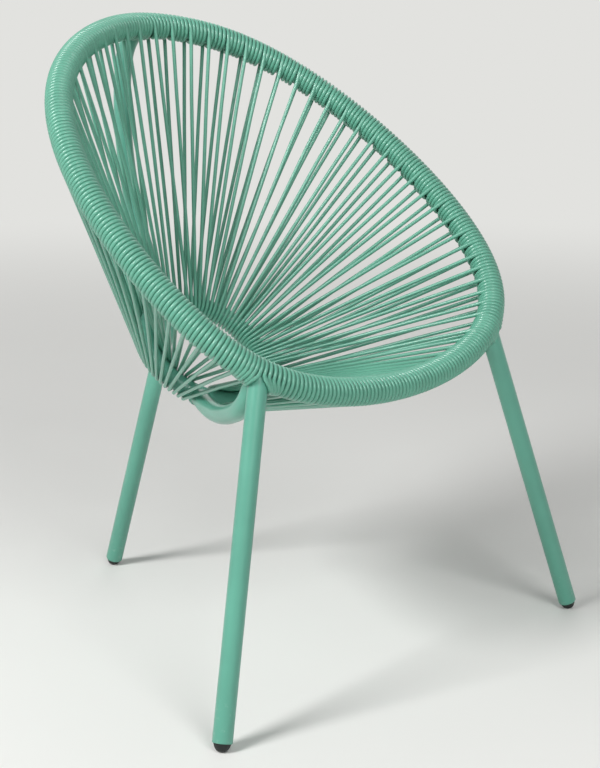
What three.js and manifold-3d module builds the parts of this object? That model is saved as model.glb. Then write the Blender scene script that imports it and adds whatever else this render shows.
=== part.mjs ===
// An acapulco chair: an egg-shaped steel hoop on three legs, with a small ring under it,
// and one long cord wound round the hoop and led to the ring and back.
// Millimetres, +Z up. The chair faces -Y, its left side is at -X, and it stands centred over 0, 0.
import * as THREE from "three";
import Module from "manifold-3d";

const wasm = await Module();
wasm.setup();
const { Manifold, Mesh } = wasm;

// Driving dimensions
const frameTubeDiameter = 25;
const cordDiameter = 5.8;
const fitGap = 0.3;

// Hoop centre line: x from sines, y and z from cosines of the turn, which is 0 at the middle of the front
const hoopWidthTerms = [283.24, 51.47, -3.77, 4.75, 3.33];
const hoopDepthTerms = [-24.02, -266.83, -7.68, 24.28, 3.36, -4.21];
const hoopHeightTerms = [622.6, -233.77, -18.8, 13.77, -1.1, -2.31];
const hoopSides = 8;

// Lower ring, tilted up at the back
const ringRadius = 92;
const ringCentreY = 88.4;
const ringCentreHeight = 372.3;
const ringTiltDegrees = 40;
const ringSides = 12;
const ringSteps = 36;

// Feet and legs
const footHalfSpread = 342.9;
const footFront = -311.7;
const footBack = 311.7;
const legSides = 16;
const legTopSetback = 6;
const frontLegTurn = 0.637;
const capDiameter = 24;
const capHeight = 11;
const capCrown = 4;
const capSides = 24;
const capLipHeight = 1.6;
const capLipDiameter = 25;

// Front struts: drops below the line from the hoop to the ring, at shares of its length
const strutRingTurnDegrees = 42;
const strutLeanShare = 0.7;
const strutLineShares = [0.02, 0.055, 0.085, 0.15, 0.281, 0.451, 0.631, 0.794, 0.945, 1];
const strutDrops = [0, 18, 31.5, 41.2, 44.4, 41.9, 33, 20.8, 7, 2];
const strutSteps = 20;
const strutSides = 10;
const roomSides = 8;

// Back strut in the middle plane: [y, z] pairs from the hoop to the ring
const backStrutPath = [
  [218.4, 824.7],
  [236, 812],
  [252, 790],
  [260, 755],
  [263, 705],
  [258, 640],
  [243, 570],
  [219, 508],
  [188, 458],
  [158.9, 431.5],
];
const backStrutSteps = 16;

// Cord: pairs of seat cords, the ridge of turns shown between them, and the hooks round the ring
const frontSectorPairs = [2, 4, 4, 4, 2];
const closeSectorPairs = [2, 2, 2, 2];
const wideSectorPairs = [4, 4, 4, 4, 4];
const frontHalfGap = 37.5;
const sideHalfGap = 18;
const closeReach = 166;
const ringStrutGapDegrees = 9.6;
const ringBackGapDegrees = 11;
const turnsPerPair = 1.5;
const turnPoints = 8;
const turnValleyDepth = 2.4;
const topFacet = 1;
const underFacet = 6;
const ridgeEndShare = 0.15;
const sectorGap = 0.4;
const seatCordWidth = 4.7;
const seatCordHeight = 5.2;
const hookTurnDegrees = [30, 90, 150];
const hookVertexRadius = 18;
const cordRootReach = 17;
const gapPoints = 60;

// Derived sizes
const frameTubeRadius = frameTubeDiameter / 2;
const clearTubeRadius = frameTubeRadius + fitGap;
const cordCentreRadius = clearTubeRadius + cordDiameter / 2;
const crestRadius = clearTubeRadius + cordDiameter;
const sampleCount = 1440;
const fullTurn = 2 * Math.PI;

const vector = (x, y, z) => new THREE.Vector3(x, y, z);
const radians = (degrees) => THREE.MathUtils.degToRad(degrees);
const along = (start, direction, length) => start.clone().addScaledVector(direction, length);
const across = (v, axis) => v.clone().addScaledVector(axis, -v.dot(axis)).normalize();

// Steel and cord finishes
const finish = (color, roughness, metalness) =>
  new THREE.MeshStandardMaterial({ color, roughness, metalness });
const paintedSteel = () => finish(0x6fb7a0, 0.35, 0.1);
const cordPlastic = () => finish(0x63b59a, 0.4, 0);
const blackRubber = () => finish(0x111412, 0.7, 0);

const chair = new THREE.Group();
chair.name = "acapulco_chair";

// A solid from points and triangles
function solidFrom(points, triangles) {
  const mesh = new Mesh({
    numProp: 3,
    vertProperties: new Float32Array(points.flatMap((p) => [p.x, p.y, p.z])),
    triVerts: new Uint32Array(triangles.flat()),
  });
  mesh.merge();
  return new Manifold(mesh);
}

// Adds a solid to the chair as a named mesh
function addNode(name, solid, material) {
  const mesh = solid.getMesh();
  const geometry = new THREE.BufferGeometry();
  const corners = new THREE.BufferAttribute(new Float32Array(mesh.vertProperties), mesh.numProp);
  geometry.setAttribute("position", corners);
  geometry.setIndex(new THREE.BufferAttribute(new Uint32Array(mesh.triVerts), 1));
  const flat = geometry.toNonIndexed();
  flat.computeVertexNormals();
  const node = new THREE.Mesh(flat, material);
  node.name = name;
  chair.add(node);
}

// Rows of equal point counts joined into a skin; a closed skin also joins its last row to its first
function skinOf(rows, closed) {
  const count = rows[0].length;
  const points = rows.flat();
  const triangles = [];
  const lastRow = closed ? rows.length : rows.length - 1;
  for (let i = 0; i < lastRow; i++) {
    const next = (i + 1) % rows.length;
    for (let k = 0; k < count; k++) {
      const k2 = (k + 1) % count;
      const a = i * count + k;
      const b = i * count + k2;
      const c = next * count + k;
      const e = next * count + k2;
      triangles.push([a, b, e], [a, e, c]);
    }
  }
  if (!closed) {
    const end = (rows.length - 1) * count;
    for (let k = 1; k < count - 1; k++) {
      triangles.push([0, k + 1, k], [end, end + k, end + k + 1]);
    }
  }
  return solidFrom(points, triangles);
}

// A round tube along a centre line, its sections square to the bends; up is a direction it never runs along
function tubeAlong(centres, radius, sides, up, closed = false) {
  const last = centres.length - 1;
  const rows = centres.map((centre, i) => {
    const before = centres[closed ? (i + last) % (last + 1) : Math.max(i - 1, 0)];
    const after = centres[closed ? (i + 1) % (last + 1) : Math.min(i + 1, last)];
    const run = after.clone().sub(before).normalize();
    const side = across(up instanceof Function ? up(i) : up, run);
    const other = run.clone().cross(side);
    return Array.from({ length: sides }, (_, k) => {
      const angle = ((k + 0.5) / sides) * fullTurn;
      return along(along(centre, side, radius * Math.cos(angle)), other, radius * Math.sin(angle));
    });
  });
  return skinOf(rows, closed);
}

// Hoop centre line by turn and by length
function hoopAtTurn(turn) {
  const x = hoopWidthTerms.reduce((sum, term, k) => sum + term * Math.sin((k + 1) * turn), 0);
  const y = hoopDepthTerms.reduce((sum, term, k) => sum + term * Math.cos(k * turn), 0);
  const z = hoopHeightTerms.reduce((sum, term, k) => sum + term * Math.cos(k * turn), 0);
  return vector(x, y, z);
}
const hoopLengths = [0];
for (let i = 1; i <= sampleCount; i++) {
  const before = hoopAtTurn(((i - 1) / sampleCount) * fullTurn);
  const after = hoopAtTurn((i / sampleCount) * fullTurn);
  hoopLengths.push(hoopLengths[i - 1] + after.distanceTo(before));
}
const hoopLength = hoopLengths[sampleCount];
const hoopMiddle = hoopLength / 2;

function turnAtLength(length) {
  const wrapped = ((length % hoopLength) + hoopLength) % hoopLength;
  let i = 1;
  while (hoopLengths[i] < wrapped) {
    i++;
  }
  const share = (wrapped - hoopLengths[i - 1]) / (hoopLengths[i] - hoopLengths[i - 1]);
  return ((i - 1 + share) / sampleCount) * fullTurn;
}
function lengthAtTurn(turn) {
  const place = (turn / fullTurn) * sampleCount;
  const i = Math.floor(place);
  return hoopLengths[i] + (place - i) * (hoopLengths[i + 1] - hoopLengths[i]);
}
const slightTurn = fullTurn / sampleCount;
function hoopRun(turn) {
  return hoopAtTurn(turn + slightTurn).sub(hoopAtTurn(turn - slightTurn)).normalize();
}

// Lower ring centre line and its directions at a turn, 0 at its front
const ringCentre = vector(0, ringCentreY, ringCentreHeight);
const ringTilt = radians(ringTiltDegrees);
const ringNormal = vector(0, -Math.sin(ringTilt), Math.cos(ringTilt));
const ringForward = vector(0, -Math.cos(ringTilt), -Math.sin(ringTilt));
const rightward = vector(1, 0, 0);
const upward = vector(0, 0, 1);
function ringAt(turn) {
  const out = ringForward.clone().multiplyScalar(Math.cos(turn)).addScaledVector(rightward, Math.sin(turn));
  return along(ringCentre, out, ringRadius);
}
function ringRun(turn) {
  return ringForward.clone().multiplyScalar(-Math.sin(turn)).addScaledVector(rightward, Math.cos(turn));
}

// Places along the hoop and the ring where the pairs of seat cords leave. On each side they stand closer
// together for the first stretch behind the front leg.
const halfway = (a, b) => (a + b) / 2;
const total = (counts) => counts.reduce((sum, count) => sum + count, 0);
function evenly(first, last, count) {
  return Array.from({ length: count }, (_, i) => first + ((last - first) * i) / (count - 1));
}
const frontJointLength = lengthAtTurn(frontLegTurn);
const strutRingTurn = radians(strutRingTurnDegrees);
const ringStrutGap = radians(ringStrutGapDegrees);
const ringBackGap = radians(ringBackGapDegrees);
const frontCount = total(frontSectorPairs);
const closeCount = total(closeSectorPairs);
const wideCount = total(wideSectorPairs);
const frontEnd = frontJointLength - frontHalfGap;
const frontPlaces = evenly(-frontEnd, frontEnd, frontCount);
const frontRingEnd = strutRingTurn - ringStrutGap;
const frontRingPlaces = evenly(-frontRingEnd, frontRingEnd, frontCount);
const closeEnd = frontJointLength + closeReach;
const closePlaces = evenly(frontJointLength + sideHalfGap, closeEnd, closeCount);
const widePlaces = evenly(closeEnd, hoopMiddle - sideHalfGap, wideCount + 1).slice(1);
const rightPlaces = [...closePlaces, ...widePlaces];
const rightRingStart = strutRingTurn + ringStrutGap;
const rightRingPlaces = evenly(rightRingStart, Math.PI - ringBackGap, closeCount + wideCount);
const leftPlaces = rightPlaces.map((place) => hoopLength - place).reverse();
const leftRingPlaces = rightRingPlaces.map((place) => fullTurn - place).reverse();
const rightSectorPairs = [...closeSectorPairs, ...wideSectorPairs];
const leftSectorPairs = [...rightSectorPairs].reverse();

// Cuts a run of cords from one joint to the next into sectors
function cordRun(prefix, start, end, hoopPlaces, ringPlaces, sectorPairs) {
  let after = 0;
  let cut = start;
  return sectorPairs.map((count, i) => {
    const first = after;
    after += count;
    const sector = { name: prefix + (i + 1), start: cut };
    cut = after < hoopPlaces.length ? halfway(hoopPlaces[after - 1], hoopPlaces[after]) : end;
    sector.end = cut;
    sector.hoopPlaces = hoopPlaces.slice(first, after);
    sector.ringPlaces = ringPlaces.slice(first, after);
    return sector;
  });
}
const leftJointLength = hoopLength - frontJointLength;
const joints = [-frontJointLength, frontJointLength, hoopMiddle, leftJointLength];
const cordSectors = [
  ...cordRun("cord_front_", joints[0], joints[1], frontPlaces, frontRingPlaces, frontSectorPairs),
  ...cordRun("cord_right_", joints[1], joints[2], rightPlaces, rightRingPlaces, rightSectorPairs),
  ...cordRun("cord_left_", joints[2], joints[3], leftPlaces, leftRingPlaces, leftSectorPairs),
];

// Hoop tube, with a section at each station, and the room that its neighbours leave round it
function hoopPoint(length, angle, radius) {
  const turn = turnAtLength(length);
  const centre = hoopAtTurn(turn);
  const run = hoopRun(turn);
  const inward = across(ringCentre.clone().sub(centre), run);
  const top = run.clone().cross(inward);
  return along(along(centre, inward, radius * Math.cos(angle)), top, radius * Math.sin(angle));
}
function hoopSection(length, radius) {
  return Array.from({ length: hoopSides }, (_, k) => hoopPoint(length, (k / hoopSides) * fullTurn, radius));
}
const hoopStations = cordSectors.flatMap(({ start, end }) => [start, halfway(start, end)]);
const facetRoom = 1 / Math.cos(Math.PI / hoopSides);
const sleeveInnerRadius = frameTubeRadius + fitGap * facetRoom;
function hoopSkin(radius) {
  return skinOf(hoopStations.map((length) => hoopSection(length, radius)), true);
}
const hoopTube = hoopSkin(frameTubeRadius);
const hoopJointRoom = hoopSkin(clearTubeRadius * facetRoom);

const ringTurns = Array.from({ length: ringSteps }, (_, i) => (i / ringSteps) * fullTurn);
const ringCentres = ringTurns.map(ringAt);
const ringTube = tubeAlong(ringCentres, frameTubeRadius, ringSides, ringNormal, true);
const ringFacetRoom = 1 / Math.cos(Math.PI / ringSides);
const ringRoom = tubeAlong(ringCentres, clearTubeRadius * ringFacetRoom, ringSides, ringNormal, true);
addNode("hoop_tube", hoopTube, paintedSteel());
addNode("seat_ring", ringTube, paintedSteel());

// Legs: straight tubes from the foot caps to the hoop or the ring, coped to what they meet
const frontJoint = hoopAtTurn(frontLegTurn);
const frontFoot = vector(footHalfSpread, footFront, 0);
const backFoot = vector(0, footBack, 0);
const backJoint = ringAt(Math.PI);
function straightTube(start, end, radius, sides) {
  return tubeAlong([start, end], radius, sides, vector(0, 1, 0.2));
}
function mirrored(solid) {
  return solid.mirror([1, 0, 0]);
}
const roomRadius = clearTubeRadius / Math.cos(Math.PI / roomSides);
const frontLegRun = frontJoint.clone().sub(frontFoot).normalize();
const backLegRun = backJoint.clone().sub(backFoot).normalize();
const frontLegTop = along(frontJoint, frontLegRun, -legTopSetback);
const backLegTop = along(backJoint, backLegRun, -legTopSetback);
const capPlane = capHeight + fitGap;
function legFrom(foot, run, top, room) {
  const start = along(foot, run, capPlane);
  return straightTube(start, top, frameTubeRadius, legSides).subtract(room);
}
const frontLeg = legFrom(frontFoot, frontLegRun, frontLegTop, hoopJointRoom);
const backLeg = legFrom(backFoot, backLegRun, backLegTop, ringRoom);
const frontLegRoom = straightTube(frontFoot, frontJoint, roomRadius, roomSides);
const backLegRoom = straightTube(backFoot, backJoint, roomRadius, roomSides);
addNode("right_front_leg", frontLeg, paintedSteel());
addNode("left_front_leg", mirrored(frontLeg), paintedSteel());
addNode("rear_leg", backLeg, paintedSteel());

// Foot caps: a lip against the tube end and a crowned tread in line with the leg, cut level at the floor
function footCap(foot, run) {
  const levels = [-capCrown, 0, capHeight - capLipHeight, capHeight - capLipHeight, capHeight];
  const diameterShares = [0.6, 1, 1, capLipDiameter / capDiameter, capLipDiameter / capDiameter];
  const side = across(vector(0, 1, 0), run);
  const other = run.clone().cross(side);
  const rows = levels.map((level, i) => {
    const radius = (capDiameter / 2) * diameterShares[i];
    return Array.from({ length: capSides }, (_, k) => {
      const angle = (k / capSides) * fullTurn;
      const centre = along(foot, run, level);
      return along(along(centre, side, radius * Math.cos(angle)), other, radius * Math.sin(angle));
    });
  });
  return skinOf(rows, false).trimByPlane([0, 0, 1], 0);
}
const frontCap = footCap(frontFoot, frontLegRun);
addNode("right_front_foot", frontCap, blackRubber());
addNode("left_front_foot", mirrored(frontCap), blackRubber());
addNode("rear_foot", footCap(backFoot, backLegRun), blackRubber());

// Struts: bent tubes from the hoop to the ring
function curvedTube(points, radius, sides, steps, up) {
  const centres = new THREE.CatmullRomCurve3(points, false, "centripetal").getSpacedPoints(steps);
  return tubeAlong(centres, radius, sides, up);
}
const strutEnd = ringAt(strutRingTurn);
const strutLine = strutEnd.clone().sub(frontJoint).normalize();
const strutSide = across(ringRun(strutRingTurn), strutLine);
const seatNormal = strutSide.clone().cross(strutLine);
const strutUp = across(upward.clone().lerp(seatNormal, strutLeanShare), strutLine);
const strutPoints = strutLineShares.map((share, i) =>
  along(frontJoint.clone().lerp(strutEnd, share), strutUp, -strutDrops[i]),
);
const strutCross = strutUp.clone().cross(strutLine);
const frontStrut = curvedTube(strutPoints, frameTubeRadius, strutSides, strutSteps, strutCross)
  .subtract(hoopJointRoom)
  .subtract(ringRoom)
  .subtract(frontLegRoom);
const frontStrutRoom = curvedTube(strutPoints, roomRadius, roomSides, strutSteps, strutCross);
const backStrutPoints = backStrutPath.map(([y, z]) => vector(0, y, z));
const backStrut = curvedTube(backStrutPoints, frameTubeRadius, strutSides, backStrutSteps, rightward)
  .subtract(hoopJointRoom)
  .subtract(ringRoom)
  .subtract(backLegRoom);
const backStrutRoom = curvedTube(backStrutPoints, roomRadius, roomSides, backStrutSteps, rightward);

// The largest of the separate pieces that a cut leaves
function mainPiece(solid) {
  return solid.decompose().reduce((best, piece) => (piece.volume() > best.volume() ? piece : best));
}
addNode("right_front_strut", mainPiece(frontStrut), paintedSteel());
addNode("left_front_strut", mirrored(mainPiece(frontStrut)), paintedSteel());
addNode("back_strut", mainPiece(backStrut), paintedSteel());

// The turns of cord round a stretch of hoop: one ridge that climbs as it goes round. Its points lie in
// columns along the hoop, each with crests and valleys a little further on than in the column before.
function ridgeColumn(stretch, k) {
  const { start, end, phase, pitch } = stretch;
  const shift = phase + (k / turnPoints) * pitch;
  const margin = ridgeEndShare * pitch;
  const first = Math.ceil((start + margin - shift) / (pitch / 2));
  const last = Math.floor((end - margin - shift) / (pitch / 2));
  const places = [start];
  for (let j = first; j <= last; j++) {
    places.push(shift + (j * pitch) / 2);
  }
  places.push(end);
  return places.map((place) => {
    const share = THREE.MathUtils.euclideanModulo((place - shift) / pitch, 1);
    const radius = crestRadius - turnValleyDepth * 2 * Math.min(share, 1 - share);
    return { place, point: hoopPoint(place, (k / turnPoints) * fullTurn, radius) };
  });
}

// Joins two neighbouring columns, ridge to ridge, and leaves open the quads that a seat cord grows from
function joinColumns(near, far, stretch, openPlaces, triangles) {
  const step = stretch.pitch / turnPoints;
  const openings = [];
  let i = 0;
  let j = 0;
  while (i < near.length - 1 || j < far.length - 1) {
    const middle = i < near.length - 1 ? (near[i].place + near[i + 1].place + step) / 2 : 0;
    const whole = i > 0 && j > 0 && i < near.length - 2 && j < far.length - 2;
    if (whole && openPlaces.some((place) => Math.abs(place - middle) < step)) {
      openings.push([near[i].index, far[j].index, far[j + 1].index, near[i + 1].index]);
      i++;
      j++;
      continue;
    }
    const farNext = j < far.length - 1 ? far[j + 1].place - step : Infinity;
    const nearNext = i < near.length - 1 ? near[i + 1].place : Infinity;
    if (farNext < nearNext + step / 2) {
      triangles.push([near[i].index, far[j].index, far[j + 1].index]);
      j++;
    } else {
      triangles.push([near[i].index, far[j].index, near[i + 1].index]);
      i++;
    }
  }
  return openings;
}

// Joins two closed loops of equal point counts
function joinLoops(loop, next, triangles) {
  for (let i = 0; i < loop.length; i++) {
    const i2 = (i + 1) % loop.length;
    triangles.push([loop[i], loop[i2], next[i2]], [loop[i], next[i2], next[i]]);
  }
}

// Sections of a pair of seat cords: from the hoop's top to the ring, round its inner side and back below
function pairSections(hoopPlace, ringTurn) {
  const turn = turnAtLength(hoopPlace);
  const hoopCentre = hoopAtTurn(turn);
  const ringPoint = ringAt(ringTurn);
  const inward = ringPoint.clone().sub(hoopCentre).normalize();
  const side = across(ringRun(ringTurn), inward);
  const rise = side.clone().cross(inward);
  const riseAtHoop = across(rise, hoopRun(turn));
  const riseAtRing = across(rise, ringRun(ringTurn));
  const inwardAtRing = across(inward, ringRun(ringTurn));
  const path = [along(along(hoopCentre, riseAtHoop, cordCentreRadius), inward, cordRootReach)];
  for (const degrees of hookTurnDegrees) {
    const angle = radians(degrees);
    const lifted = along(ringPoint, riseAtRing, hookVertexRadius * Math.cos(angle));
    path.push(along(lifted, inwardAtRing, hookVertexRadius * Math.sin(angle)));
  }
  path.push(along(along(hoopCentre, riseAtHoop, -cordCentreRadius), inward, cordRootReach));
  return path.map((point, i) => cordSection(point, path[i - 1] ?? point, path[i + 1] ?? point, side));
}
function cordSection(point, before, after, side) {
  const run = after.clone().sub(point).normalize().add(point.clone().sub(before).normalize()).normalize();
  const wide = across(side, run);
  const outer = wide.clone().cross(run);
  const bend = after.clone().sub(point).angleTo(point.clone().sub(before)) || 0;
  const halfWide = seatCordWidth / 2;
  const halfTall = seatCordHeight / 2 / Math.cos(bend / 2);
  const corner = (w, h) => along(along(point, wide, w * halfWide), outer, h * halfTall);
  return [corner(-1, -1), corner(-1, 1), corner(1, 1), corner(1, -1)];
}

// A sector of the seat: its stretch of turns, closed inside and at both ends, and the seat cords on it
function seatSector(stretch, hoopPlaces, ringPlaces) {
  const points = [];
  const triangles = [];
  const addPoint = (point) => points.push(point) - 1;
  const columns = Array.from({ length: turnPoints }, (_, k) => ridgeColumn(stretch, k));
  columns.forEach((column) => column.forEach((entry) => (entry.index = addPoint(entry.point))));
  const step = stretch.pitch / turnPoints;
  const roots = columns.map((column, k) => {
    const opens = { [topFacet]: hoopPlaces, [underFacet]: hoopPlaces.map((place) => place + step) }[k] ?? [];
    return joinColumns(column, columns[(k + 1) % turnPoints], stretch, opens, triangles);
  });
  hoopPlaces.forEach((hoopPlace, n) => {
    const sections = pairSections(hoopPlace, ringPlaces[n]).map((section) => section.map(addPoint));
    const [a, b, c, d] = roots[underFacet][n];
    const loops = [roots[topFacet][n], ...sections, [b, a, d, c]];
    loops.slice(1).forEach((loop, i) => joinLoops(loops[i], loop, triangles));
  });
  const innerPlaces = [stretch.start, halfway(stretch.start, stretch.end), stretch.end];
  const innerSections = innerPlaces.map((length) => hoopSection(length, sleeveInnerRadius));
  const innerLoops = innerSections.map((section) => section.map(addPoint).reverse());
  innerLoops.slice(1).forEach((loop, i) => joinLoops(innerLoops[i], loop, triangles));
  const startBorder = columns.map((column) => column[0].index).reverse();
  const endBorder = columns.map((column) => column.at(-1).index).reverse();
  joinLoops(startBorder, innerLoops[0], triangles);
  joinLoops(innerLoops.at(-1), endBorder, triangles);
  return solidFrom(points, triangles);
}

// All sectors of a run of cords; those at a joint leave room for its leg and strut
const jointRooms = [frontLegRoom, mirrored(frontLegRoom), frontStrutRoom, mirrored(frontStrutRoom)];
const jointRoom = Manifold.union([...jointRooms, backStrutRoom, backLegRoom]);
for (const { name, start, end, hoopPlaces, ringPlaces } of cordSectors) {
  const pitch = (hoopPlaces[1] - hoopPlaces[0]) / turnsPerPair;
  const phase = hoopPlaces[0] - pitch * (1 / 4 + (topFacet + 1 / 2) / turnPoints);
  const stretch = { start: start + sectorGap / 2, end: end - sectorGap / 2, phase, pitch };
  const solid = seatSector(stretch, hoopPlaces, ringPlaces);
  addNode(name, mainPiece(solid.subtract(jointRoom)), cordPlastic());
}

// The least gap between neighbouring seat cords, measured on points along them
function pointsAlongPair(place, ringTurn) {
  const centres = pairSections(place, ringTurn).map(([a, , c]) => a.clone().lerp(c, 0.5));
  return new THREE.CatmullRomCurve3(centres, false, "catmullrom", 0).getSpacedPoints(gapPoints);
}
const cordPaths = cordSectors.flatMap(({ hoopPlaces, ringPlaces }) =>
  hoopPlaces.map((place, i) => pointsAlongPair(place, ringPlaces[i])),
);
const leastGap = cordPaths.reduce((least, path, i) => {
  const next = cordPaths[(i + 1) % cordPaths.length];
  const apart = Math.min(...path.map((point) => Math.min(...next.map((other) => point.distanceTo(other)))));
  return Math.min(least, apart - seatCordWidth);
}, Infinity);
console.log("Least gap between seat cords, mm:", leastGap.toFixed(2));

export default chair;
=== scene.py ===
import bpy
import math
import numpy as np
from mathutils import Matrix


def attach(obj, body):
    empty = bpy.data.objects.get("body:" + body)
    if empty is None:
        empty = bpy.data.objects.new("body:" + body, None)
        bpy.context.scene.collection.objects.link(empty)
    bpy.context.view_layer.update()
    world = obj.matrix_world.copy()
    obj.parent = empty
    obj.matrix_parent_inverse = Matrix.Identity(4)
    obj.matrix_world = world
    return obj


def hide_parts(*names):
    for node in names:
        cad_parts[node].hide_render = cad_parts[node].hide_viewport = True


# An acapulco chair strung with mint cord, dressed over its frame. Metres, Z up, the front at -Y.
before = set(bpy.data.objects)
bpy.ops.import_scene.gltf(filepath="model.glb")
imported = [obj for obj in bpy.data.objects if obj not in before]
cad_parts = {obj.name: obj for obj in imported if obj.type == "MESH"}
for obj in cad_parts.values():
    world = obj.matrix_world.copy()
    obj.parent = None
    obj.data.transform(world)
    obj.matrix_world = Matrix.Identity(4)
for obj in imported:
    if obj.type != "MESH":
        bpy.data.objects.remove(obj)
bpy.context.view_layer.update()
fullTurn = 2 * math.pi
print("frame loaded:", len(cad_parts), "nodes")


# The eye of the picture
photoCamera = {
    "place": (-1.60573, -1.69809, 0.87432),
    "lookDown": 12.921,  # degrees below level
    "heading": -45.157,  # degrees from +Y
    "focal": 1717.19,  # in pixels of the picture
    "pictureWidth": 600,
    "sensor": 36,
    "farthest": 100,
}
lensData = bpy.data.cameras.new("photoCamera")
lensData.sensor_fit = "HORIZONTAL"
lensData.sensor_width = photoCamera["sensor"]
lensData.lens = photoCamera["sensor"] * photoCamera["focal"] / photoCamera["pictureWidth"]
lensData.clip_end = photoCamera["farthest"]
photoEye = bpy.data.objects.new("photoCamera", lensData)
photoEye.location = photoCamera["place"]
photoEye.rotation_euler = (
    math.radians(90 - photoCamera["lookDown"]),
    0,
    math.radians(photoCamera["heading"]),
)
bpy.context.scene.collection.objects.link(photoEye)
bpy.context.scene.camera = photoEye
print("camera set")


# Finishes, with the shader sums written as Python
class Wire:
    # one output of a node
    def __init__(self, finish, socket):
        self.finish = finish
        self.socket = socket

    def sum(self, operation, *values):
        return self.finish.node("ShaderNodeMath", {"operation": operation}, dict(enumerate(values)))

    def __add__(self, other):
        return self.sum("ADD", self, other)

    def __radd__(self, other):
        return self.sum("ADD", other, self)

    def __sub__(self, other):
        return self.sum("SUBTRACT", self, other)

    def __rsub__(self, other):
        return self.sum("SUBTRACT", other, self)

    def __mul__(self, other):
        return self.sum("MULTIPLY", self, other)

    def __rmul__(self, other):
        return self.sum("MULTIPLY", other, self)


class Finish:
    # a material with one Principled shader
    def __init__(self, name, **fixed):
        self.material = bpy.data.materials.new(name)
        self.material.use_nodes = True
        self.tree = self.material.node_tree
        self.shader = self.tree.nodes["Principled BSDF"]
        for key, value in fixed.items():
            self.shader.inputs[key].default_value = value
        self.spot = self.node("ShaderNodeTexCoord", out="Object")

    def node(self, kind, settings=None, values=None, out=0):
        made = self.tree.nodes.new(kind)
        for key, value in (settings or {}).items():
            setattr(made, key, value)
        for key, value in (values or {}).items():
            if isinstance(value, Wire):
                self.tree.links.new(value.socket, made.inputs[key])
            else:
                made.inputs[key].default_value = value
        return Wire(self, made.outputs[out])

    def noise(self, scale, detail=3, roughness=0.5):
        values = {"Vector": self.spot, "Scale": scale, "Detail": detail, "Roughness": roughness}
        return self.node("ShaderNodeTexNoise", None, values)

    def mix(self, share, one, other):
        return self.node("ShaderNodeMix", {"data_type": "RGBA"}, {0: share, 6: one, 7: other}, out=2)

    def between(self, wire, low, high, first=0.0, last=1.0):
        values = {"Value": wire, 1: low, 2: high, 3: first, 4: last}
        return self.node("ShaderNodeMapRange", {"interpolation_type": "SMOOTHSTEP"}, values)

    def height(self):
        return self.node("ShaderNodeSeparateXYZ", None, {0: self.spot}, out=2)

    def drive(self, socket, wire):
        self.tree.links.new(wire.socket, self.shader.inputs[socket])

    def bump(self, depth, strength, wire):
        self.drive("Normal", self.node(
            "ShaderNodeBump", None, {"Strength": strength, "Distance": depth, "Height": wire}))


def tint(code, shade=1.0):
    # a colour as written on a colour card, made linear
    parts = [int(code[i:i + 2], 16) / 255 for i in (0, 2, 4)]
    return tuple(min(1.0, shade * (((p + 0.055) / 1.055) ** 2.4 if p > 0.04045 else p / 12.92))
                 for p in parts) + (1.0,)


mintPaintLook = {
    "colour": "599e8a",
    "worn": "86b0a3",
    "shades": (0.95, 1.05),  # of the darkest and the lightest paint
    "roughness": 0.33,
    "clouds": 9,  # slow changes of shade, per metre
    "cloudEdges": (0.35, 0.65),  # parts of the noise that count as dark and as light
    "cloudRoughness": 0.06,
    "peel": 900,  # orange peel, bumps per metre
    "specks": 2600,
    "speckShare": 0.25,
    "scuffs": 150,
    "scuffEdges": (0.56, 0.68),
    "scuffHeights": (0.012, 0.09),  # between these the scuffs thin out
    "scuffCover": 0.5,
    "scuffRoughness": 0.2,
    "bump": (0.0003, 0.2),  # depth and strength
}
mintPaint = Finish("mintPaint", **{"IOR": 1.47, "Coat Weight": 0.35, "Coat Roughness": 0.14})
cloud = mintPaint.noise(mintPaintLook["clouds"], 4)
peel = mintPaint.noise(mintPaintLook["peel"], 2)
speck = mintPaint.noise(mintPaintLook["specks"], 1)
lowDown = mintPaint.between(mintPaint.height(), *mintPaintLook["scuffHeights"], 1.0, 0.0)
scratched = mintPaint.noise(mintPaintLook["scuffs"], 6, 0.7)
scuffs = mintPaint.between(scratched, *mintPaintLook["scuffEdges"]) * lowDown
darkPaint, lightPaint = (tint(mintPaintLook["colour"], shade) for shade in mintPaintLook["shades"])
painted = mintPaint.mix(
    mintPaint.between(cloud, *mintPaintLook["cloudEdges"]), darkPaint, lightPaint)
mintPaint.drive("Base Color", mintPaint.mix(
    scuffs * mintPaintLook["scuffCover"], painted, tint(mintPaintLook["worn"])))
mintPaint.drive("Roughness", mintPaintLook["roughness"] + (cloud - 0.5) * mintPaintLook["cloudRoughness"]
                + scuffs * mintPaintLook["scuffRoughness"])
mintPaint.bump(*mintPaintLook["bump"], peel + speck * mintPaintLook["speckShare"])

mintCordLook = {
    "colour": "5ea08a",
    "shades": (0.94, 1.06, 1.1),  # darkest, light, and light grains
    "roughness": 0.34,
    "tones": 38,  # slow changes of shade, per metre
    "toneEdges": (0.3, 0.7),
    "grain": 500,
    "grainEdges": (0.35, 0.75),
    "fineGrain": 2400,
    "fineShare": 0.25,
    "grainRoughness": 0.12,
    "bump": (0.0003, 0.07),
}
mintCord = Finish("mintCord", **{"IOR": 1.47, "Coat Weight": 0.3, "Coat Roughness": 0.16})
tone = mintCord.noise(mintCordLook["tones"], 3)
grain = mintCord.noise(mintCordLook["grain"], 4, 0.6)
fineGrain = mintCord.noise(mintCordLook["fineGrain"], 2)
darkCord, lightCord, grainCord = (tint(mintCordLook["colour"], shade) for shade in mintCordLook["shades"])
cordTint = mintCord.mix(mintCord.between(tone, *mintCordLook["toneEdges"]), darkCord, lightCord)
mintCord.drive("Base Color", mintCord.mix(
    mintCord.between(grain, *mintCordLook["grainEdges"]), cordTint, grainCord))
mintCord.drive("Roughness", mintCordLook["roughness"] + (grain - 0.5) * mintCordLook["grainRoughness"])
mintCord.bump(*mintCordLook["bump"], grain + fineGrain * mintCordLook["fineShare"])

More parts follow.
